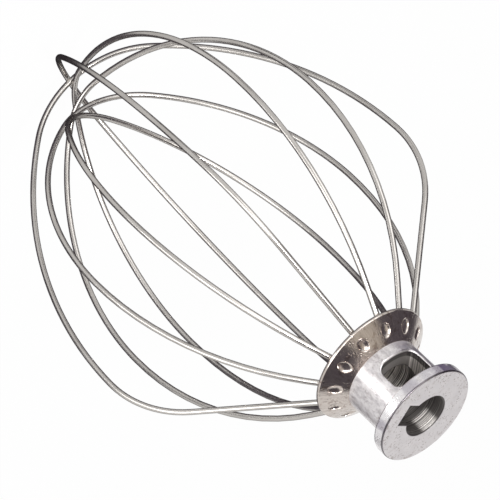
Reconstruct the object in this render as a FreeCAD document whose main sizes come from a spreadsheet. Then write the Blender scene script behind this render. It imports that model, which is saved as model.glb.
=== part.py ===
import FreeCAD, Part
import math
import os
import Sketcher
from FreeCAD import Placement, Rotation, Vector

# Wire whip for a stand mixer: one cast hub and six bent wire loops staked in its collar.
# Millimetres. The hub is on top, with z = 0 at the flange's face. The mixer's shaft enters
# there and points down, and each loop hangs below in an upright plane through the axis.

doc = FreeCAD.newDocument("wire_whip")

# Driving dimensions

sizes = {
    "whip_length": 164.45,
    # cast hub, from its face down: flange, neck, flared collar, foot
    "flange_diameter": 30.4,
    "flange_thickness": 3.5,
    "flange_edge_round": 0.5,
    "neck_diameter": 23.2,
    "neck_length": 14.7,
    "neck_root_round": 0.6,
    "cone_drop": 4.7,
    "rim_margin": 1.6,
    "rim_thickness": 0.8,
    "rim_edge_bevel": 0.15,
    "underside_angle": 29.0,
    "foot_drop": 2.3,
    "foot_edge_round": 1.0,
    # shaft socket
    "shaft_diameter": 12.7,
    "shaft_clearance": 0.1,
    "socket_floor": 4.5,
    "socket_chamfer": 0.45,
    # straight slot that lets the shaft's cross pin in, and the window that the pin turns into
    "pin_slot_width": 6.0,
    "pin_slot_azimuth": 302.0,
    "pin_slot_wall": 2.0,
    "window_lintel": 1.7,
    "window_sill": 3.9,
    "window_azimuth": 244.0,
    "window_width": 12.8,
    "window_corner_round": 2.6,
    "window_bevel": 0.45,
    # wires, and the holes in the collar's underside that hold them
    "wire_diameter": 1.7,
    "wire_hole_clearance": 0.05,
    "flare_angle": 47.0,
    "seat_radius": 16.9,
    "seat_length": 6.5,
    "seat_end_gap": 0.1,
    # oval punch marks on the cone, over the wires' ends
    "dimple_setback": 2.0,
    "dimple_length": 4.6,
    "dimple_width": 3.3,
    "dimple_depth": 0.65,
}

# The loops, from the outermost tip inwards. Each has its place round the hub, in steps of a
# twelfth of a turn, and the clear gap between its tip and the one below, in wire diameters. Its
# bends, to the wire's centre line, and how far its tip leans off the axis are shares of the
# whip's length
loops = [
    {"place": 3, "gap": 0.0, "half_width": 0.3113, "shoulder": 0.2347, "tip": 0.1605,
     "lean": -0.0049},
    {"place": 0, "gap": 0.2, "half_width": 0.3302, "shoulder": 0.2019, "tip": 0.1855,
     "lean": -0.0097},
    {"place": 2, "gap": 0.25, "half_width": 0.3047, "shoulder": 0.5236, "tip": 0.1028,
     "lean": 0.0006},
    {"place": 1, "gap": 1.7, "half_width": 0.2961, "shoulder": 0.4907, "tip": 0.1149,
     "lean": 0.0128},
    {"place": 5, "gap": 2.0, "half_width": 0.2791, "shoulder": 0.4944, "tip": 0.1672,
     "lean": 0.0043},
    {"place": 4, "gap": 3.8, "half_width": 0.2755, "shoulder": 0.4634, "tip": 0.1843,
     "lean": -0.0359},
]
loop_count = len(loops)
for number, loop in enumerate(loops, 1):
    sizes[f"loop_{number}_tip_gap"] = f"={loop['gap']} * wire_diameter"
    sizes[f"loop_{number}_half_width"] = f"={loop['half_width']} * whip_length"
    sizes[f"loop_{number}_shoulder_radius"] = f"={loop['shoulder']} * whip_length"
    sizes[f"loop_{number}_tip_radius"] = f"={loop['tip']} * whip_length"
    sizes[f"loop_{number}_tip_lean"] = f"={loop['lean']} * whip_length"

sheet = doc.addObject("Spreadsheet::Sheet", "sizes")
for row, (name, length) in enumerate(sizes.items(), 1):
    sheet.set(f"A{row}", name)
    sheet.set(f"B{row}", str(length))
    sheet.setAlias(f"B{row}", name)
doc.recompute()

# Lengths that follow from the sheet, as expressions on it

neck_radius = "(sizes.neck_diameter / 2)"
cone_depth = "(sizes.flange_thickness + sizes.neck_length)"
rim_radius = "(sizes.seat_radius + sizes.rim_margin)"
rim_depth = f"({cone_depth} + sizes.cone_drop)"
lip_depth = f"({rim_depth} + sizes.rim_thickness)"
seat_depth = f"({lip_depth} + sizes.rim_margin * tan(sizes.underside_angle))"
hub_depth = f"({seat_depth} + sizes.foot_drop)"
foot_radius = "(sizes.seat_radius - sizes.foot_drop / tan(sizes.underside_angle))"
socket_radius = "(sizes.shaft_diameter / 2 + sizes.shaft_clearance)"
socket_depth = f"({hub_depth} - sizes.socket_floor)"
slot_radius = f"({neck_radius} - sizes.pin_slot_wall)"
window_top = "(sizes.flange_thickness + sizes.window_lintel)"
window_bottom = f"({cone_depth} - sizes.window_sill)"
wire_radius = "(sizes.wire_diameter / 2)"


def value(expression):
    return float(sheet.evalExpression(expression))


# Helpers


def origin_feature(body, role):
    return next(f for f in body.Origin.OriginFeatures if f.Role == role)


def new_sketch(body, name, role):
    sketch = body.newObject("Sketcher::SketchObject", name)
    sketch.AttachmentSupport = [(origin_feature(body, role), "")]
    sketch.MapMode = "FlatFace"
    return sketch


def set_dimension(sketch, constraint, name, expression):
    index = sketch.addConstraint(constraint)
    sketch.renameConstraint(index, name)
    sketch.setExpression(f"Constraints.{name}", expression)


def hold_point(sketch, edge, end, name, across, along):
    """Hold the end of an edge at two lengths from the sketch's origin, or on an axis."""
    for kind, axis, length in (("DistanceX", -2, across), ("DistanceY", -1, along)):
        if length == "0":
            sketch.addConstraint(Sketcher.Constraint("PointOnObject", edge, end, axis))
        else:
            constraint = Sketcher.Constraint(kind, -1, 1, edge, end, value(length))
            set_dimension(sketch, constraint, f"{name}_{kind}", length)


def draw_outline(sketch, corners):
    """Straight sides round the corners, each a name and two lengths as expressions."""
    points = [Vector(value(across), value(along), 0) for _, across, along in corners]
    for start, stop in zip(points, points[1:] + points[:1]):
        sketch.addGeometry(Part.LineSegment(start, stop), False)
    for side in range(len(points)):
        following = (side + 1) % len(points)
        sketch.addConstraint(Sketcher.Constraint("Coincident", side, 2, following, 1))
    for side, (name, across, along) in enumerate(corners):
        hold_point(sketch, side, 1, name, across, along)


def edge_names(shape, wanted):
    return [f"Edge{i}" for i, edge in enumerate(shape.Edges, 1) if wanted(edge)]


def turned_edge(radius, height):
    """A test for the circles about the axis with this radius at this height."""
    r = value(radius)
    z = value(height)

    def matches(edge):
        if not isinstance(edge.Curve, Part.Circle):
            return False
        centre = edge.Curve.Center
        on_axis = math.hypot(centre.x, centre.y) < 1e-6 and abs(edge.Curve.Axis.z) > 0.999
        return on_axis and abs(edge.Curve.Radius - r) < 1e-6 and abs(centre.z - z) < 1e-6
    return matches


def add_dressing(body, kind, name, edges, property_name, expression):
    base = body.Tip
    feature = body.newObject(f"PartDesign::{kind}", name)
    feature.Base = (base, edges)
    feature.setExpression(property_name, expression)
    doc.recompute()


def add_pocket(body, name, profile, depth, reversed_side=False):
    pocket = body.newObject("PartDesign::Pocket", name)
    pocket.Profile = profile
    pocket.Reversed = reversed_side
    pocket.setExpression("Length", depth)
    doc.recompute()


def repeat_round_axis(body, feature, name, count):
    pattern = body.newObject("PartDesign::PolarPattern", name)
    pattern.Originals = [feature]
    pattern.Axis = (origin_feature(body, "Z_Axis"), [""])
    pattern.Angle = 360
    pattern.Occurrences = count
    body.Tip = pattern
    doc.recompute()


def place_by_sheet(feature, axis, angle, base_x, base_z):
    """Turn a primitive about an axis and move it in the XZ plane, all by expressions."""
    feature.Placement = Placement(Vector(value(base_x), 0, value(base_z)),
                                  Rotation(axis, value(angle)))
    feature.setExpression("Placement.Rotation.Angle", angle)
    feature.setExpression("Placement.Base.x", base_x)
    feature.setExpression("Placement.Base.z", base_z)


# Hub


def turn_hub_form(body):
    section = new_sketch(body, "hub_section", "XZ_Plane")
    flange_radius = "sizes.flange_diameter / 2"
    draw_outline(section, [
        ("face_centre", "0", "0"),
        ("flange_face", flange_radius, "0"),
        ("flange_back", flange_radius, "-sizes.flange_thickness"),
        ("neck_top", neck_radius, "-sizes.flange_thickness"),
        ("cone_start", neck_radius, f"-{cone_depth}"),
        ("rim", rim_radius, f"-{rim_depth}"),
        ("lip", rim_radius, f"-{lip_depth}"),
        ("foot", foot_radius, f"-{hub_depth}"),
        ("foot_centre", "0", f"-{hub_depth}"),
    ])
    form = body.newObject("PartDesign::Revolution", "turned_form")
    form.Profile = section
    form.ReferenceAxis = (section, ["V_Axis"])
    form.Angle = 360
    doc.recompute()

    face_edge = turned_edge(flange_radius, "0")
    back_edge = turned_edge(flange_radius, "-sizes.flange_thickness")
    edges = edge_names(body.Shape, face_edge) + edge_names(body.Shape, back_edge)
    add_dressing(body, "Fillet", "flange_edges", edges, "Radius", "sizes.flange_edge_round")
    edges = edge_names(body.Shape, turned_edge(neck_radius, "-sizes.flange_thickness"))
    add_dressing(body, "Fillet", "flange_root", edges, "Radius", "sizes.neck_root_round")
    edges = edge_names(body.Shape, turned_edge(foot_radius, f"-{hub_depth}"))
    add_dressing(body, "Fillet", "foot_edge", edges, "Radius", "sizes.foot_edge_round")
    rim_edge = turned_edge(rim_radius, f"-{rim_depth}")
    lip_edge = turned_edge(rim_radius, f"-{lip_depth}")
    edges = edge_names(body.Shape, rim_edge) + edge_names(body.Shape, lip_edge)
    add_dressing(body, "Chamfer", "rim_edges", edges, "Size", "sizes.rim_edge_bevel")


def cut_neck_window(body):
    """The opening in the neck's side, cut from the axis outwards, with its rim bevelled."""
    outline = new_sketch(body, "window_outline", "YZ_Plane")
    outline.AttachmentOffset = Placement(
        Vector(), Rotation(Vector(0, 1, 0), value("sizes.window_azimuth")))
    outline.setExpression("AttachmentOffset.Rotation.Angle", "sizes.window_azimuth")
    half = "sizes.window_width / 2"
    draw_outline(outline, [
        ("sill_right", f"-{half}", f"-{window_bottom}"),
        ("sill_left", half, f"-{window_bottom}"),
        ("lintel_left", half, f"-{window_top}"),
        ("lintel_right", f"-{half}", f"-{window_top}"),
    ])
    add_pocket(body, "neck_window", outline, neck_radius, reversed_side=True)

    def corner(edge):
        levels = (-value(window_top), -value(window_bottom))
        level = any(all(abs(v.Z - z) < 1e-4 for v in edge.Vertexes) for z in levels)
        radii = [math.hypot(v.X, v.Y) for v in edge.Vertexes]
        return level and abs(max(radii) - min(radii)) > 1

    def rim_edge(edge):
        on_neck = all(abs(math.hypot(v.X, v.Y) - value(neck_radius)) < 1e-4 for v in edge.Vertexes)
        heights = [v.Z for v in edge.Vertexes]
        below_lintel = max(heights) < -value(window_top) + 1e-4
        return on_neck and below_lintel and min(heights) > -value(window_bottom) - 1e-4

    edges = edge_names(body.Shape, corner)
    add_dressing(body, "Fillet", "window_corners", edges, "Radius", "sizes.window_corner_round")
    edges = edge_names(body.Shape, rim_edge)
    add_dressing(body, "Chamfer", "window_bevel", edges, "Size", "sizes.window_bevel")


def cut_shaft_socket(body):
    circle = new_sketch(body, "socket_circle", "XY_Plane")
    circle.addGeometry(Part.Circle(Vector(), Vector(0, 0, 1), value(socket_radius)), False)
    circle.addConstraint(Sketcher.Constraint("Coincident", 0, 3, -1, 1))
    constraint = Sketcher.Constraint("Radius", 0, value(socket_radius))
    set_dimension(circle, constraint, "socket_radius", socket_radius)
    add_pocket(body, "shaft_socket", circle, socket_depth)


def cut_pin_slot(body):
    """The slot that the cross pin drops through, with its mouth and the socket's chamfered."""
    outline = new_sketch(body, "pin_slot_outline", "XY_Plane")
    outline.AttachmentOffset = Placement(
        Vector(), Rotation(Vector(0, 0, 1), value("sizes.pin_slot_azimuth")))
    outline.setExpression("AttachmentOffset.Rotation.Angle", "sizes.pin_slot_azimuth")
    half = "sizes.pin_slot_width / 2"
    draw_outline(outline, [
        ("near_right", "0", f"-{half}"),
        ("far_right", slot_radius, f"-{half}"),
        ("far_left", slot_radius, half),
        ("near_left", "0", half),
    ])
    add_pocket(body, "pin_slot", outline, window_bottom)

    def round_the_keyhole(edge):
        at_face = max(abs(vertex.Z) for vertex in edge.Vertexes) < 1e-6
        inside = max(math.hypot(v.X, v.Y) for v in edge.Vertexes) < value(neck_radius)
        return at_face and inside
    edges = edge_names(body.Shape, round_the_keyhole)
    add_dressing(body, "Chamfer", "keyhole_chamfer", edges, "Size", "sizes.socket_chamfer")


def drill_wire_holes(body):
    """Slanted blind holes in the collar's underside."""
    hole = body.newObject("PartDesign::SubtractiveCylinder", "wire_hole")
    run_out = "sizes.wire_diameter"
    place_by_sheet(hole, Vector(0, -1, 0), "sizes.flare_angle",
                   f"sizes.seat_radius + {run_out} * sin(sizes.flare_angle)",
                   f"-{seat_depth} - {run_out} * cos(sizes.flare_angle)")
    hole.setExpression("Radius", f"{wire_radius} + sizes.wire_hole_clearance")
    hole.setExpression("Height", f"sizes.seat_length + sizes.seat_end_gap + {run_out}")
    doc.recompute()
    repeat_round_axis(body, hole, "wire_holes", 2 * loop_count)


def punch_dimples(body):
    fall = f"({rim_depth} - {cone_depth})"
    spread = f"({rim_radius} - {neck_radius})"
    middle = "(sizes.seat_radius - sizes.dimple_setback)"
    dimple = body.newObject("PartDesign::SubtractiveEllipsoid", "dimple")
    place_by_sheet(dimple, Vector(0, 1, 0), f"atan({fall} / {spread})", middle,
                   f"-{cone_depth} - ({middle} - {neck_radius}) * {fall} / {spread}")
    dimple.setExpression("Radius1", "sizes.dimple_depth")
    dimple.setExpression("Radius2", "sizes.dimple_length / 2")
    dimple.setExpression("Radius3", "sizes.dimple_width / 2")
    doc.recompute()
    repeat_round_axis(body, dimple, "dimples", 2 * loop_count)


def make_hub():
    body = doc.addObject("PartDesign::Body", "whip_hub")
    body.Label = "whip_hub"
    turn_hub_form(body)
    for cut in (cut_neck_window, cut_shaft_socket, cut_pin_slot,
                drill_wire_holes, punch_dimples):
        before = body.Shape.Volume
        cut(body)
        removed = before - body.Shape.Volume
        print(f"{cut.__name__}: {removed:.1f} cubic mm removed")
        if removed < 1:
            raise RuntimeError(f"{cut.__name__} removed nothing")
    return body


# Wire loops


def tip_depth(number):
    """How far down the centre line of a loop's tip lies, as an expression."""
    if number == 1:
        return f"(sizes.whip_length - {wire_radius})"
    return f"({tip_depth(number - 1)} - sizes.wire_diameter - sizes.loop_{number}_tip_gap)"


def draw_half_loop(path, number, lean):
    """One side of a loop: half the tip's arc, the side's, the shoulder's and the straight leg."""
    tip_radius = f"sizes.loop_{number}_tip_radius"
    shoulder_radius = f"sizes.loop_{number}_shoulder_radius"
    half_width = f"sizes.loop_{number}_half_width"
    end_radius = "sizes.seat_radius - sizes.seat_length * sin(sizes.flare_angle)"
    end_height = f"sizes.seat_length * cos(sizes.flare_angle) - {seat_depth}"

    flare = math.radians(value("sizes.flare_angle"))
    tip_r = value(tip_radius)
    shoulder_r = value(shoulder_radius)
    tip_centre = Vector(value(lean), tip_r - value(tip_depth(number)), 0)
    leg_end = Vector(value(end_radius), value(end_height), 0)
    outward = value(half_width) - leg_end.x
    drop = (outward * math.cos(flare) + shoulder_r * (1 - math.cos(flare))) / math.sin(flare)
    widest = Vector(value(half_width), leg_end.y - drop, 0)
    shoulder_centre = widest - Vector(shoulder_r, 0, 0)
    leg_start = shoulder_centre + Vector(math.cos(flare), math.sin(flare), 0) * shoulder_r
    reach = widest.x - tip_centre.x
    rise = widest.y - tip_centre.y
    side_r = (reach ** 2 + rise ** 2 - tip_r ** 2) / (2 * (reach - tip_r))
    side_centre = widest - Vector(side_r, 0, 0)
    tip_end = math.atan2(tip_centre.y - side_centre.y, tip_centre.x - side_centre.x)

    for centre, radius, start, stop in (
        (tip_centre, tip_r, -math.pi / 2, tip_end),
        (side_centre, side_r, tip_end, 0),
        (shoulder_centre, shoulder_r, 0, flare),
    ):
        circle = Part.Circle(centre, Vector(0, 0, 1), radius)
        path.addGeometry(Part.ArcOfCircle(circle, start, stop), False)
    path.addGeometry(Part.LineSegment(leg_start, leg_end), False)
    tip, side, shoulder, leg = range(4)
    for edge in (tip, side, shoulder):
        path.addConstraint(Sketcher.Constraint("Tangent", edge, 2, edge + 1, 1))
    path.addConstraint(Sketcher.Constraint("Vertical", tip, 1, tip, 3))
    path.addConstraint(Sketcher.Constraint("Horizontal", side, 2, side, 3))
    hold_point(path, tip, 1, "tip", lean, f"-{tip_depth(number)}")
    hold_point(path, leg, 2, "wire_end", end_radius, end_height)
    for constraint, name, expression in (
        (Sketcher.Constraint("Radius", tip, tip_r), "tip_radius", tip_radius),
        (Sketcher.Constraint("Radius", shoulder, shoulder_r), "shoulder_radius", shoulder_radius),
        (Sketcher.Constraint("DistanceX", -1, 1, side, 2, widest.x), "half_width", half_width),
        (Sketcher.Constraint("Angle", leg, math.pi / 2 + flare), "leg_angle",
         "90 + sizes.flare_angle"),
    ):
        set_dimension(path, constraint, name, expression)


def make_loop(number, place):
    """Round wire swept both ways from the tip, each way along its own half of the loop."""
    body = doc.addObject("PartDesign::Body", f"wire_loop_{number}")
    body.Label = f"wire_loop_{number}"
    tip_lean = f"sizes.loop_{number}_tip_lean"
    section = new_sketch(body, f"wire_section_{number}", "YZ_Plane")
    section.AttachmentOffset = Placement(Vector(0, 0, value(tip_lean)), Rotation())
    section.setExpression("AttachmentOffset.Base.z", tip_lean)
    circle = Part.Circle(Vector(0, -value(tip_depth(number)), 0), Vector(0, 0, 1),
                         value(wire_radius))
    section.addGeometry(circle, False)
    hold_point(section, 0, 3, "centre", "0", f"-{tip_depth(number)}")
    constraint = Sketcher.Constraint("Radius", 0, value(wire_radius))
    set_dimension(section, constraint, "wire_radius", wire_radius)
    for side, turn, lean in (("right", 0, tip_lean), ("left", 180, f"-{tip_lean}")):
        path = new_sketch(body, f"{side}_path_{number}", "XZ_Plane")
        path.AttachmentOffset = Placement(Vector(), Rotation(Vector(0, 1, 0), turn))
        draw_half_loop(path, number, lean)
        doc.recompute()
        half = body.newObject("PartDesign::AdditivePipe", f"{side}_wire_{number}")
        half.Profile = section
        half.Spine = (path, [])
        doc.recompute()
    body.Placement = Placement(Vector(), Rotation(Vector(0, 0, 1), 180 / loop_count * place))
    doc.recompute()
    return body


parts = [make_hub()]
for number, loop in enumerate(loops, 1):
    parts.append(make_loop(number, loop["place"]))

# Check and write

for item in doc.Objects:
    if "Invalid" in item.State or "Error" in item.State:
        raise RuntimeError(f"{item.Label}: {item.State}")
os.makedirs("parts", exist_ok=True)
for body in parts:
    if body.Shape.isNull() or not body.Shape.isValid() or len(body.Shape.Solids) != 1:
        raise RuntimeError(f"{body.Label} isn't one valid solid")
    print(f"{body.Label}: {body.Shape.Volume:.1f} cubic mm")
    body.Shape.exportStep(f"parts/{body.Label}.step")
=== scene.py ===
import bpy
import math
from mathutils import Matrix, Vector


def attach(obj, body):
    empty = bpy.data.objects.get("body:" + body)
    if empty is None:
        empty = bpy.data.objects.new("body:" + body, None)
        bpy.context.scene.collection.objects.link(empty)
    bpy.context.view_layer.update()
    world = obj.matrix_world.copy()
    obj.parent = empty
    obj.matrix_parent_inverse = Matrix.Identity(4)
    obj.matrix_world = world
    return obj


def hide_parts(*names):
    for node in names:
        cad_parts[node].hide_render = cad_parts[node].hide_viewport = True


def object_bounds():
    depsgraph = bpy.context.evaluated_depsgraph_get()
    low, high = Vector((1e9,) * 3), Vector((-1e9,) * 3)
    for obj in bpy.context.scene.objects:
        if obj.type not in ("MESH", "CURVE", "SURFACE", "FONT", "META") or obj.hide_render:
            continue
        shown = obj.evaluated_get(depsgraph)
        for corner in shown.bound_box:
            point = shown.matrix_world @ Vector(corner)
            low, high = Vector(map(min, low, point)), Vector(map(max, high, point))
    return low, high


# Wire whip for a stand mixer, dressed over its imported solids. Metres. The hub is on top, with
# z = 0 at the flange's face, and the wires hang below it.

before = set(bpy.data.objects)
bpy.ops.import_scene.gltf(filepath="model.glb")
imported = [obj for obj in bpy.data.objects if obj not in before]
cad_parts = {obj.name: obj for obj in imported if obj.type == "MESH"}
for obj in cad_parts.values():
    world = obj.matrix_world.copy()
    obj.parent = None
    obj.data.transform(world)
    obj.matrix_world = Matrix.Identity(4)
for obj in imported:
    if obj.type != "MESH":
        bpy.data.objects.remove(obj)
cad_low, cad_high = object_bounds()
whip_length = -cad_low.z


# Camera: it looks down at the whip from the side of the neck's window, turned so that the whip
# lies across the picture. The flange's centre is placed by its pixel in the photograph and by its
# distance from the lens.
photo_size = 500
focal_pixels = 3070.6
flange_pixel = (425.7, 416.1)
flange_distance = 0.8213
view_azimuth = math.radians(-81.05)
view_elevation = math.radians(31.69)
view_roll = math.radians(133.37)

level_right = Vector((-math.sin(view_azimuth), math.cos(view_azimuth), 0))
backward = Vector((math.cos(view_elevation) * math.cos(view_azimuth),
                   math.cos(view_elevation) * math.sin(view_azimuth), math.sin(view_elevation)))
level_up = backward.cross(level_right)
picture_right = level_right * math.cos(view_roll) + level_up * math.sin(view_roll)
picture_up = level_up * math.cos(view_roll) - level_right * math.sin(view_roll)
flange_right, flange_down = ((pixel - photo_size / 2) / focal_pixels * flange_distance
                             for pixel in flange_pixel)
camera_place = (backward * flange_distance - picture_right * flange_right
                + picture_up * flange_down)

camera_data = bpy.data.cameras.new("photo_camera")
camera_data.sensor_width = 36
camera_data.lens = focal_pixels / photo_size * camera_data.sensor_width
camera = bpy.data.objects.new("photo_camera", camera_data)
camera.matrix_world = (Matrix.Translation(camera_place)
                       @ Matrix((picture_right, picture_up, backward)).transposed().to_4x4())
bpy.context.scene.collection.objects.link(camera)
bpy.context.scene.camera = camera


# Cast hub: one aluminium casting, turned and polished on its cone, satin on its neck, and left
# matt with small pits on its flange's face. The socket and the slot for the cross pin are bored
# and milled, so their walls keep fine tool lines. Shade and highlights are painted into its colour
# in the socket, in the window, along some edges and on one side of the neck.


class Signal:
    """A node's output that stands in sums: each operator adds a Math node to its tree."""

    def __init__(self, wiring, node, output=0):
        self.wiring = wiring
        self.node = node
        self.socket = node.outputs[output] if node.outputs else None

    def out(self, name):
        """Another output of the same node."""
        return Signal(self.wiring, self.node, name)

    def __add__(self, other):
        return self.wiring.math("ADD", self, other)

    def __radd__(self, other):
        return self.wiring.math("ADD", other, self)

    def __sub__(self, other):
        return self.wiring.math("SUBTRACT", self, other)

    def __rsub__(self, other):
        return self.wiring.math("SUBTRACT", other, self)

    def __mul__(self, other):
        return self.wiring.math("MULTIPLY", self, other)

    def __rmul__(self, other):
        return self.wiring.math("MULTIPLY", other, self)

    def __truediv__(self, other):
        return self.wiring.math("DIVIDE", self, other)

    def __rtruediv__(self, other):
        return self.wiring.math("DIVIDE", other, self)


class Wiring:
    """A node tree being wired. add() makes a node, sets it, and joins or fills its inputs."""

    def __init__(self, tree):
        self.tree = tree

    def add(self, kind, settings=None, inputs=None, output=0):
        node = self.tree.nodes.new(kind)
        for name, setting in (settings or {}).items():
            setattr(node, name, setting)
        for name, source in (inputs or {}).items():
            if isinstance(source, Signal):
                self.tree.links.new(source.socket, node.inputs[name])
            else:
                node.inputs[name].default_value = source
        return Signal(self, node, output)

    def math(self, operation, *values):
        return self.add("ShaderNodeMath", {"operation": operation}, dict(enumerate(values)))

    def step(self, value, start, stop):
        """0 below start, 1 above stop, and smooth between them."""
        return self.add("ShaderNodeMapRange", {"interpolation_type": "SMOOTHSTEP"},
                        {"Value": value, "From Min": start, "From Max": stop})

    def mix(self, share, first, second):
        """A colour between two colours, by the numbers of the Mix node's colour sockets."""
        share_in, first_in, second_in, colour_out = 0, 6, 7, 2
        return self.add("ShaderNodeMix", {"data_type": "RGBA"},
                        {share_in: share, first_in: first, second_in: second}, colour_out)

    def noise(self, place, scale, detail=2.0, roughness=0.5):
        return self.add("ShaderNodeTexNoise", {"noise_dimensions": "3D"},
                        {"Vector": place, "Scale": scale, "Detail": detail,
                         "Roughness": roughness})


def metal(name):
    """A new material with one metal shader on its output, its wiring and that shader."""
    material = bpy.data.materials.new(name)
    material.use_nodes = True
    wiring = Wiring(material.node_tree)
    wiring.tree.nodes.clear()
    shader = wiring.add("ShaderNodeBsdfPrincipled", inputs={"Metallic": 1.0})
    wiring.add("ShaderNodeOutputMaterial", inputs={"Surface": shader})
    return material, wiring, shader.node


def feed(wiring, shader, **sockets):
    """Join signals to a shader's sockets, each named with _ where its name has a space."""
    for name, source in sockets.items():
        wiring.tree.links.new(source.socket, shader.inputs[name.replace("_", " ")])


# The hub's outline and openings, then where painted light lies in the socket and the window, and
# how far stains, painted dark edge lines and soft changes reach.
flange_radius = 0.0152
flange_back = -0.0035
neck_radius = 0.0116
cone_start = -0.0182
rim_radius = 0.0185
rim_foot = -0.0234
socket_floor = -0.0224
window_lintel = -0.0052
window_sill = -0.0143
window_bevel = 0.0005
cheek_inner_radius = 0.0066
cheek_outer_radius = 0.0095
lower_wall_top = -0.0140
lower_wall_full = -0.0155
stained_from_radius = 0.0118
stained_full_radius = 0.0150
dark_edge_drop = 0.00055
surface_skin = 0.0002
soft_edge = 0.00015
fine_edge = 0.0001

cast_aluminium, wiring, shader = metal("cast_aluminium")
place = wiring.add("ShaderNodeTexCoord", output="Object")
parts = wiring.add("ShaderNodeSeparateXYZ", inputs={0: place})
x, y, z = parts, parts.out("Y"), parts.out("Z")
radius = wiring.math("SQRT", x * x + y * y)
heading_x, heading_y = x / radius, y / radius


def past(value, edge, softness=soft_edge):
    """0 up to an edge and 1 beyond it, with a short soft change after the edge."""
    return wiring.step(value, edge, edge + softness)


def band(value, low, high):
    """1 between two edges, with a short soft change centred on each."""
    return past(value, low - soft_edge / 2) * (1 - past(value, high - soft_edge / 2))


def beside(azimuth, reach):
    """1 on one side of the hub, its middle at an azimuth in degrees, and 0 a reach away."""
    turn = math.radians(azimuth)
    full_reach = reach * 0.3
    facing = heading_x * math.cos(turn) + heading_y * math.sin(turn)
    return wiring.step(facing, math.cos(math.radians(reach)), math.cos(math.radians(full_reach)))


# Where on the hub a point lies.
on_face = past(z, -soft_edge)
on_neck = past(z, cone_start)
on_cone = 1 - on_neck
on_band = band(z, flange_back, -soft_edge) * past(radius, flange_radius - surface_skin, fine_edge)
on_edge = (past(z, -dark_edge_drop, fine_edge) * (1 - on_face)
           * past(radius, flange_radius - 2 * surface_skin, fine_edge))
near_edge = wiring.step(radius, stained_from_radius, stained_full_radius) * on_face
under_rim = (past(radius, rim_radius - 2 * surface_skin, fine_edge)
             * (1 - past(z, rim_foot, 2 * fine_edge)))
inside_neck = 1 - past(radius, neck_radius - 2 * soft_edge)
in_bore = inside_neck * (1 - on_face) * past(z, socket_floor - soft_edge)
at_window = band(z, window_sill, window_lintel)
on_bevel = band(radius, neck_radius - window_bevel, neck_radius - soft_edge) * at_window
in_mouth = band(radius, neck_radius - 2 * window_bevel, neck_radius - window_bevel) * at_window
# The window's cheek, where a painted highlight lies.
on_cheek = band(radius, cheek_inner_radius, cheek_outer_radius) * at_window
# The socket's far wall, where a painted highlight strip lies.
in_glint = beside(azimuth=90, reach=30) * (1 - at_window)
# The socket's wall below the window, where painted light lies.
on_lower_wall = (1 - wiring.step(z, lower_wall_full, lower_wall_top)) * in_bore

# What the casting and the tools left in its surface.
blotches = wiring.noise(place, scale=260, detail=4, roughness=0.6)
stain_fields = wiring.noise(place, scale=520, detail=4, roughness=0.7)
stains = wiring.step(stain_fields, start=0.5, stop=0.68)
pit_cells = wiring.add("ShaderNodeTexVoronoi", {"feature": "F1"}, {"Vector": place, "Scale": 1500})
pit_fields = wiring.step(wiring.noise(place, scale=300, detail=3), start=0.46, stop=0.6)
pitted = (1 - wiring.step(pit_cells, start=0.1, stop=0.45)) * pit_fields
grain = wiring.noise(place, scale=2600, detail=3, roughness=0.6)
cone_stretch = 8
down_cone = wiring.add("ShaderNodeCombineXYZ",
                       inputs={"X": heading_x, "Y": heading_y, "Z": radius * cone_stretch})
brushed = wiring.noise(down_cone, scale=60, detail=3, roughness=0.6)
neck_stretch = 45
down_neck = wiring.add("ShaderNodeCombineXYZ",
                       inputs={"X": heading_x, "Y": heading_y, "Z": z * neck_stretch})
worn_streaks = wiring.noise(down_neck, scale=9, detail=5, roughness=0.68)
tool_lines = wiring.add("ShaderNodeTexNoise", {"noise_dimensions": "1D"},
                        {"W": z, "Scale": 2300, "Detail": 2})
rings = wiring.step(tool_lines, start=0.38, stop=0.62)

# Dark violet patches on the flange's band, by azimuth, reach and darkness, partly a nick and
# tarnish and partly painted shade, and a wide painted shade on one side of the neck.
band_tarnish_and_shade = on_band * sum(beside(azimuth, reach) * darkness for azimuth, reach, darkness in (
    (-144, 13, 1), (-120, 16, 0.3), (-92, 12, 0.4), (-40, 9, 0.45)))
neck_painted_shade = on_neck * (1 - on_face) * beside(azimuth=-158, reach=42) * 0.6
tarnish_and_painted_shade = (band_tarnish_and_shade + neck_painted_shade) * wiring.step(blotches, start=0.3, stop=0.5)

# Colours, from the clean metal of each surface to what lies over it, painted shade and painted
# highlights among them.
satin_dark, satin_light = (0.50, 0.47, 0.48, 1), (0.80, 0.77, 0.77, 1)
matt_dark, matt_light = (0.60, 0.575, 0.58, 1), (0.84, 0.81, 0.81, 1)
polished_dark, polished_light = (0.34, 0.30, 0.28, 1), (0.76, 0.69, 0.63, 1)
# Painted shade and painted highlight for the socket's walls.
bore_painted_shade, bore_painted_highlight = (0.065, 0.058, 0.055, 1), (0.98, 0.93, 0.89, 1)
bright_metal = (0.80, 0.78, 0.79, 1)
# Violet of tarnish, also used for painted shade.
violet_tarnish_and_shade = (0.13, 0.10, 0.17, 1)
brown_stain = (0.24, 0.18, 0.15, 1)
brown_pit = (0.19, 0.13, 0.11, 1)
# Painted shade for dark lines along edges.
painted_dark_line = (0.04, 0.03, 0.04, 1)
# Painted highlight on the window's cheek.
cheek_painted_highlight = (0.80, 0.75, 0.71, 1)
bright_bevel = (0.85, 0.82, 0.82, 1)

satin = wiring.mix(wiring.step(worn_streaks, start=0.3, stop=0.65), satin_dark, satin_light)
matt = wiring.mix(blotches, matt_dark, matt_light)
polished = wiring.mix(brushed, polished_dark, polished_light)
clean = wiring.mix(on_cone, wiring.mix(on_face, satin, matt), polished)
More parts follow.
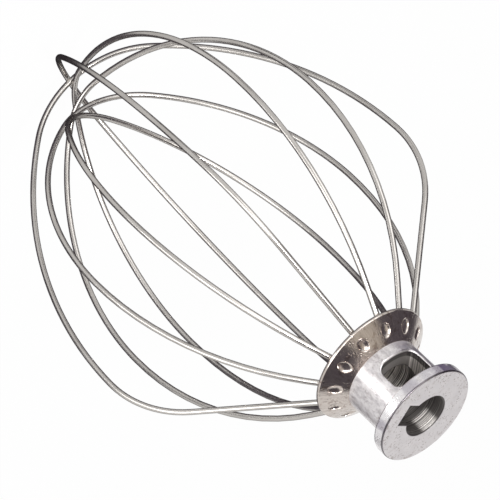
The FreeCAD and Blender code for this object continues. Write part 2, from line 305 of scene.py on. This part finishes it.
# Painted shade in the socket: its walls are nearly black, with a painted highlight strip on the
# far wall and painted light on the wall below the window, striped by the tool lines.
bore_painted_shade_and_highlight = wiring.mix(rings * (0.12 + in_glint * 0.88 + on_lower_wall * 0.8),
                   bore_painted_shade, bore_painted_highlight)
# The window's cheek gets a painted highlight, striped by the tool lines.
bore_and_cheek_painted_light = wiring.mix(on_cheek * (0.3 + rings * 0.7), bore_painted_shade_and_highlight, cheek_painted_highlight)

colour = wiring.mix(on_band * 0.7, clean, bright_metal)
# Violet tarnish on the band, with painted shade on the band and on one side of the neck.
colour = wiring.mix(tarnish_and_painted_shade, colour, violet_tarnish_and_shade)
colour = wiring.mix(stains * (0.2 + on_cone * 0.5 + near_edge * 0.35), colour, brown_stain)
colour = wiring.mix(pitted * (0.35 + on_face * 0.35 - on_band * 0.2), colour, brown_pit)
# Painted shade: dark lines along the flange's front edge and under the collar's rim.
colour = wiring.mix(on_edge * 0.85 + under_rim * 0.6, colour, painted_dark_line)
# The socket's painted shade and painted highlights go over its walls.
colour = wiring.mix(in_bore, colour, bore_and_cheek_painted_light)
# Painted shade: a dark ring inside the window's bevel.
colour = wiring.mix(in_mouth * 0.7, colour, painted_dark_line)
colour = wiring.mix(on_bevel, colour, bright_bevel)
feed(wiring, shader, Base_Color=colour)

dulled = in_bore * (0.35 + in_glint * 0.6 + on_lower_wall * 0.4)
feed(wiring, shader, Metallic=1 - dulled)

roughness = (0.14 + on_neck * 0.12 + on_face * 0.2 - on_band * 0.05 + in_bore * 0.1
             + blotches * 0.08)
feed(wiring, shader, Roughness=roughness)

cast_texture = (grain * 0.5 + blotches * 0.5) * (0.3 + on_face * 1.2) - pitted * 2
tool_marks = (brushed * on_cone * 0.8 + worn_streaks * (on_neck - on_face)
              + tool_lines * in_bore * 9)
feed(wiring, shader, Normal=wiring.add(
    "ShaderNodeBump",
    inputs={"Strength": 0.45, "Distance": 0.00004, "Height": cast_texture + tool_marks}))

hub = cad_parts["whip_hub"]
hub.data.materials.clear()
hub.data.materials.append(cast_aluminium)


# Wire loops: six lengths of round stainless wire, bent on a former with a straight leg, a
# shoulder, a long side and a tip, and pushed into the hub's slanted holes, where punch marks hold
# them. The wire is drawn, so its faint lines run along it.

wire_diameter = 0.0017
ring_spacing = 0.0009
wire_sides = 20
flare_angle = math.radians(47)
seat_radius = 0.0169
seat_depth = 0.024587
seat_length = 0.0065

# From the lowest tip up. The place counts the upright planes through the axis, the gap above the
# tip before is in wire diameters, and the rest are shares of the whip's length.
loops = [
    {"place": 3, "gap": 0.0, "half_width": 0.3113, "shoulder": 0.2347, "tip": 0.1605,
     "lean": -0.0049},
    {"place": 0, "gap": 0.2, "half_width": 0.3302, "shoulder": 0.2019, "tip": 0.1855,
     "lean": -0.0097},
    {"place": 2, "gap": 0.25, "half_width": 0.3047, "shoulder": 0.5236, "tip": 0.1028,
     "lean": 0.0006},
    {"place": 1, "gap": 1.7, "half_width": 0.2961, "shoulder": 0.4907, "tip": 0.1149,
     "lean": 0.0128},
    {"place": 5, "gap": 2.0, "half_width": 0.2791, "shoulder": 0.4944, "tip": 0.1672,
     "lean": 0.0043},
    {"place": 4, "gap": 3.8, "half_width": 0.2755, "shoulder": 0.4634, "tip": 0.1843,
     "lean": -0.0359},
]


def arc_knots(centre, radius, start, stop):
    """The two ends of an arc, each with the handle that makes a Bezier run follow it."""
    reach = 4 / 3 * math.tan((stop - start) / 4) * radius
    knots = []
    for angle in (start, stop):
        spoke = Vector((math.cos(angle), math.sin(angle)))
        knots.append((centre + spoke * radius, Vector((-spoke.y, spoke.x)) * reach))
    return knots


def half_loop(loop, tip_depth, lean):
    """Points and handles of one side, from the tip to the wire's end, in the loop's plane."""
    half_width = loop["half_width"] * whip_length
    shoulder_radius = loop["shoulder"] * whip_length
    tip_radius = loop["tip"] * whip_length
    leg_end = Vector((seat_radius - seat_length * math.sin(flare_angle),
                      seat_length * math.cos(flare_angle) - seat_depth))
    outward = half_width - leg_end.x
    drop = (outward * math.cos(flare_angle)
            + shoulder_radius * (1 - math.cos(flare_angle))) / math.sin(flare_angle)
    widest = Vector((half_width, leg_end.y - drop))
    tip_centre = Vector((lean, tip_radius - tip_depth))
    reach, rise = widest - tip_centre
    side_radius = (reach ** 2 + rise ** 2 - tip_radius ** 2) / (2 * (reach - tip_radius))
    side_centre = widest - Vector((side_radius, 0))
    joint = math.atan2(tip_centre.y - side_centre.y, tip_centre.x - side_centre.x)
    runs = (
        arc_knots(tip_centre, tip_radius, -math.pi / 2, joint),
        arc_knots(side_centre, side_radius, joint, joint / 2),
        arc_knots(side_centre, side_radius, joint / 2, 0),
        arc_knots(widest - Vector((shoulder_radius, 0)), shoulder_radius, 0, flare_angle),
    )
    knots = []
    tip_leaving = runs[0][0][1]
    arriving = -tip_leaving
    for (point, leaving), (_, next_arriving) in runs:
        knots.append((point, arriving, leaving))
        arriving = -next_arriving
    leg_start, _ = runs[-1][1]
    leg = leg_end - leg_start
    knots.append((leg_start, arriving, leg / 3))
    knots.append((leg_end, -leg / 3, leg / 3))
    return knots


def wire_path(name, loop, tip_depth):
    """One loop's middle line as an open Bezier curve: leg, side, tip, side, leg."""
    lean = loop["lean"] * whip_length
    side = half_loop(loop, tip_depth, lean)
    flipped = [(Vector((-point.x, point.y)), Vector((-leaving.x, leaving.y)),
                Vector((-arriving.x, arriving.y)))
               for point, arriving, leaving in half_loop(loop, tip_depth, -lean)]
    tip, _, tip_leaving = side[0]
    _, tip_arriving, _ = flipped[0]
    knots = flipped[:0:-1] + [(tip, tip_arriving, tip_leaving)] + side[1:]
    turn = math.pi / len(loops) * loop["place"]
    radial = Vector((math.cos(turn), math.sin(turn), 0))

    def in_space(flat):
        return radial * flat.x + Vector((0, 0, flat.y))

    curve = bpy.data.curves.new(name, "CURVE")
    curve.dimensions = "3D"
    spline = curve.splines.new("BEZIER")
    spline.bezier_points.add(len(knots) - 1)
    for bend, (point, arriving, leaving) in zip(spline.bezier_points, knots):
        bend.co = in_space(point)
        bend.handle_left = in_space(point + arriving)
        bend.handle_right = in_space(point + leaving)
    path = bpy.data.objects.new(name, curve)
    bpy.context.scene.collection.objects.link(path)
    return path


def wire_tree():
    """Geometry nodes that draw round wire along a path and mark which way it was drawn."""
    tree = bpy.data.node_groups.new("drawn_wire", "GeometryNodeTree")
    tree.interface.new_socket("Geometry", in_out="INPUT", socket_type="NodeSocketGeometry")
    for name, kind in (("Wire Diameter", "NodeSocketFloat"), ("Ring Spacing", "NodeSocketFloat"),
                       ("Sides", "NodeSocketInt"), ("Finish", "NodeSocketMaterial")):
        tree.interface.new_socket(name, in_out="INPUT", socket_type=kind)
    tree.interface.new_socket("Geometry", in_out="OUTPUT", socket_type="NodeSocketGeometry")
    wiring = Wiring(tree)
    given = wiring.add("NodeGroupInput", output="Geometry")
    path = wiring.add("GeometryNodeResampleCurve", {"mode": "LENGTH"},
                      {"Curve": given, "Length": given.out("Ring Spacing")})
    along = wiring.add("GeometryNodeSplineParameter", output="Length")
    path = wiring.add("GeometryNodeStoreNamedAttribute",
                      {"data_type": "FLOAT", "domain": "POINT"},
                      {"Geometry": path, "Name": "along", "Value": along})
    ring = wiring.add("GeometryNodeCurvePrimitiveCircle", {"mode": "RADIUS"},
                      {"Resolution": given.out("Sides"),
                       "Radius": given.out("Wire Diameter") / 2})
    place = wiring.add("GeometryNodeInputPosition")
    ring = wiring.add("GeometryNodeStoreNamedAttribute",
                      {"data_type": "FLOAT_VECTOR", "domain": "POINT"},
                      {"Geometry": ring, "Name": "across", "Value": place})
    wire = wiring.add("GeometryNodeCurveToMesh", inputs={"Curve": path, "Profile Curve": ring,
                                                         "Fill Caps": True})
    wire = wiring.add("GeometryNodeSetShadeSmooth", inputs={"Geometry": wire})
    wire = wiring.add("GeometryNodeRealizeInstances", inputs={"Geometry": wire})
    wire = wiring.add("GeometryNodeSetMaterial", inputs={"Geometry": wire,
                                                         "Material": given.out("Finish")})
    wiring.add("NodeGroupOutput", inputs={"Geometry": wire})
    return tree


def made_mesh(name, source, tree, **inputs):
    """Run a node tree on an object and keep the result as a plain mesh object."""
    modifier = source.modifiers.new(name, "NODES")
    modifier.node_group = tree
    for item in tree.interface.items_tree:
        plain_name = item.name.replace(" ", "_").lower()
        if item.in_out == "INPUT" and plain_name in inputs:
            modifier[item.identifier] = inputs[plain_name]
    graph = bpy.context.evaluated_depsgraph_get()
    mesh = bpy.data.meshes.new_from_object(source.evaluated_get(graph))
    bpy.data.objects.remove(source)
    made = bpy.data.objects.new(name, mesh)
    bpy.context.scene.collection.objects.link(made)
    return made


stainless, wiring, shader = metal("drawn_stainless")
shader.inputs["Specular Tint"].default_value = (0.2, 0.2, 0.2, 1)
across = wiring.add("ShaderNodeAttribute", {"attribute_name": "across"}, output="Vector")
along = wiring.add("ShaderNodeAttribute", {"attribute_name": "along"}, output="Fac")
draw_stretch = 0.02
drawn_out = wiring.add("ShaderNodeCombineXYZ", inputs={"Z": along * draw_stretch})
lay = wiring.add("ShaderNodeVectorMath", {"operation": "ADD"}, {0: across, 1: drawn_out})
streaks = wiring.noise(lay, scale=6000, detail=3, roughness=0.6)
place = wiring.add("ShaderNodeTexCoord", output="Object")
tarnish = wiring.noise(place, scale=90, detail=3, roughness=0.55)
steel_dark, steel_light = (0.41, 0.385, 0.36, 1), (0.70, 0.675, 0.645, 1)
streak_dark = (0.20, 0.185, 0.175, 1)
steel = wiring.mix(tarnish, steel_dark, steel_light)
feed(wiring, shader, Base_Color=wiring.mix(streaks * 0.35, steel, streak_dark))
feed(wiring, shader, Roughness=0.17 + streaks * 0.1 + tarnish * 0.06)
feed(wiring, shader, Normal=wiring.add(
    "ShaderNodeBump", inputs={"Strength": 0.05, "Distance": 0.00002, "Height": streaks}))

drawn_wire = wire_tree()
tip_depth = whip_length - wire_diameter / 2
for number, loop in enumerate(loops, 1):
    if number > 1:
        tip_depth -= wire_diameter * (1 + loop["gap"])
    path = wire_path(f"loop_path_{number}", loop, tip_depth)
    wire = made_mesh(f"bent_wire_{number}", path, drawn_wire, wire_diameter=wire_diameter,
                     ring_spacing=ring_spacing, sides=wire_sides, finish=stainless)
    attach(wire, "root")
    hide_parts(f"wire_loop_{number}")


# Studio: a pale floor a little under the wires, white surroundings and four soft lamps. The lens
# and the metal see the floor and the surroundings white, and they light the whip less than that.
bpy.context.scene.view_settings.view_transform = "Standard"

floor_drop = 0.004
floor_height = -whip_length - floor_drop
floor_width = 6.0
floor_glow = 0.97
sky_fill = 0.55


def flat_panel(name, stand, width, height):
    """A rectangle of one face, in the XY plane of a place."""
    mesh = bpy.data.meshes.new(name)
    corners = [stand @ Vector((side * width / 2, end * height / 2, 0))
               for side, end in ((-1, -1), (1, -1), (1, 1), (-1, 1))]
    mesh.from_pydata(corners, [], [(0, 1, 2, 3)])
    panel = bpy.data.objects.new(name, mesh)
    bpy.context.scene.collection.objects.link(panel)
    return panel


def seen_directly(wiring):
    """1 for what the lens sees, also in metal or through glass, and 0 for what lights."""
    ray = wiring.add("ShaderNodeLightPath", output="Is Camera Ray")
    return wiring.math("MINIMUM",
                       ray + ray.out("Is Glossy Ray") + ray.out("Is Transmission Ray"), 1)


floor_paint = bpy.data.materials.new("floor_paint")
floor_paint.use_nodes = True
wiring = Wiring(floor_paint.node_tree)
wiring.tree.nodes.clear()
lit = wiring.add("ShaderNodeBsdfDiffuse", inputs={"Color": (0.8, 0.8, 0.8, 1)})
glowing = wiring.add("ShaderNodeEmission", inputs={"Color": (1, 1, 1, 1), "Strength": 1.0})
shown = wiring.add("ShaderNodeMixShader",
                   inputs={0: seen_directly(wiring) * floor_glow, 1: lit, 2: glowing})
wiring.add("ShaderNodeOutputMaterial", inputs={"Surface": shown})
floor = flat_panel("studio_floor", Matrix.Translation(Vector((0, 0, floor_height))),
                   floor_width, floor_width)
floor.data.materials.append(floor_paint)

world = bpy.data.worlds.new("studio")
world.use_nodes = True
bpy.context.scene.world = world
wiring = Wiring(world.node_tree)
wiring.tree.nodes.clear()
sky_strength = sky_fill + seen_directly(wiring) * (1 - sky_fill)
sky = wiring.add("ShaderNodeBackground",
                 inputs={"Color": (1, 1, 1, 1), "Strength": sky_strength})
wiring.add("ShaderNodeOutputWorld", inputs={"Surface": sky})


def facing_hub(azimuth, elevation, distance):
    """A place round the hub, in degrees and metres, turned so that its -Z points at the hub."""
    azimuth, elevation = math.radians(azimuth), math.radians(elevation)
    place = Vector((math.cos(elevation) * math.cos(azimuth),
                    math.cos(elevation) * math.sin(azimuth), math.sin(elevation))) * distance
    return Matrix.Translation(place) @ place.to_track_quat("Z", "Y").to_matrix().to_4x4()


def soft_lamp(name, stand, width, power):
    """A round area lamp at a place, its power in watts."""
    data = bpy.data.lights.new(name, "AREA")
    data.shape = "DISK"
    data.size = width
    data.energy = power
    lamp = bpy.data.objects.new(name, data)
    lamp.matrix_world = stand
    bpy.context.scene.collection.objects.link(lamp)


soft_lamp("lamp_beside_camera", facing_hub(-47, 12, 0.9), width=0.6, power=3)
soft_lamp("lamp_beside_window", facing_hub(-128, 16, 0.9), width=0.6, power=1.5)
soft_lamp("lamp_over_window", facing_hub(-108, 55, 0.9), width=0.35, power=1.3)
soft_lamp("lamp_into_bore", facing_hub(-88, 46, 0.5), width=0.1, power=1.4)


# Cards round the whip that only reflections see. They put the dark and light bands into the
# polished metal, the dark lines along the wires' sides, the light one along their middle, and the
# neck's bright streak.
dark = (0.02, 0.018, 0.025, 1)
dusk = (0.11, 0.095, 0.115, 1)
warm_grey = (0.80, 0.74, 0.66, 1)
white = (1, 1, 1, 1)
card_roughness = 0.9
card_height = floor_height + 0.001
strip_distance = 0.17


def beside_wires(azimuth):
    """A place flat on the floor, outside the wires."""
    return (Matrix.Rotation(math.radians(azimuth), 4, "Z")
            @ Matrix.Translation(Vector((strip_distance, 0, card_height))))


def reflected_card(name, shade, stand, width, height, glow=0):
    """A matt card at a place, hidden from the lens, that casts no shadow and no soft light."""
    paint = bpy.data.materials.new(name)
    paint.use_nodes = True
    shader = paint.node_tree.nodes["Principled BSDF"]
    shader.inputs["Base Color"].default_value = shade
    shader.inputs["Roughness"].default_value = card_roughness
    shader.inputs["Emission Color"].default_value = shade
    shader.inputs["Emission Strength"].default_value = glow
    card = flat_panel(name, stand, width, height)
    card.data.materials.append(paint)
    card.visible_camera = False
    card.visible_shadow = False
    card.visible_diffuse = False


behind_tip = Matrix.Translation(Vector((-0.02, 0.11, card_height)))
reflected_card("dark_card_above", dusk, facing_hub(-2, 64, 0.6), width=0.78, height=0.6)
reflected_card("dark_card_behind", dusk, facing_hub(155, 33, 0.6), width=0.72, height=0.8)
reflected_card("grey_card_above", warm_grey, facing_hub(-150, 72, 0.6), width=0.32, height=0.32)
reflected_card("dark_card_below", dusk, behind_tip, width=0.5, height=0.28)
reflected_card("dark_strip_left", dark, beside_wires(-135), width=0.18, height=0.04)
reflected_card("dark_strip_right", dark, beside_wires(-27), width=0.18, height=0.04)
reflected_card("bright_card_low", white, facing_hub(-47, -28, 0.24), width=0.05, height=0.1,
               glow=3.5)
reflected_card("bright_card_front", white, facing_hub(-81, 34, 0.5), width=0.3, height=0.3,
               glow=1.9)
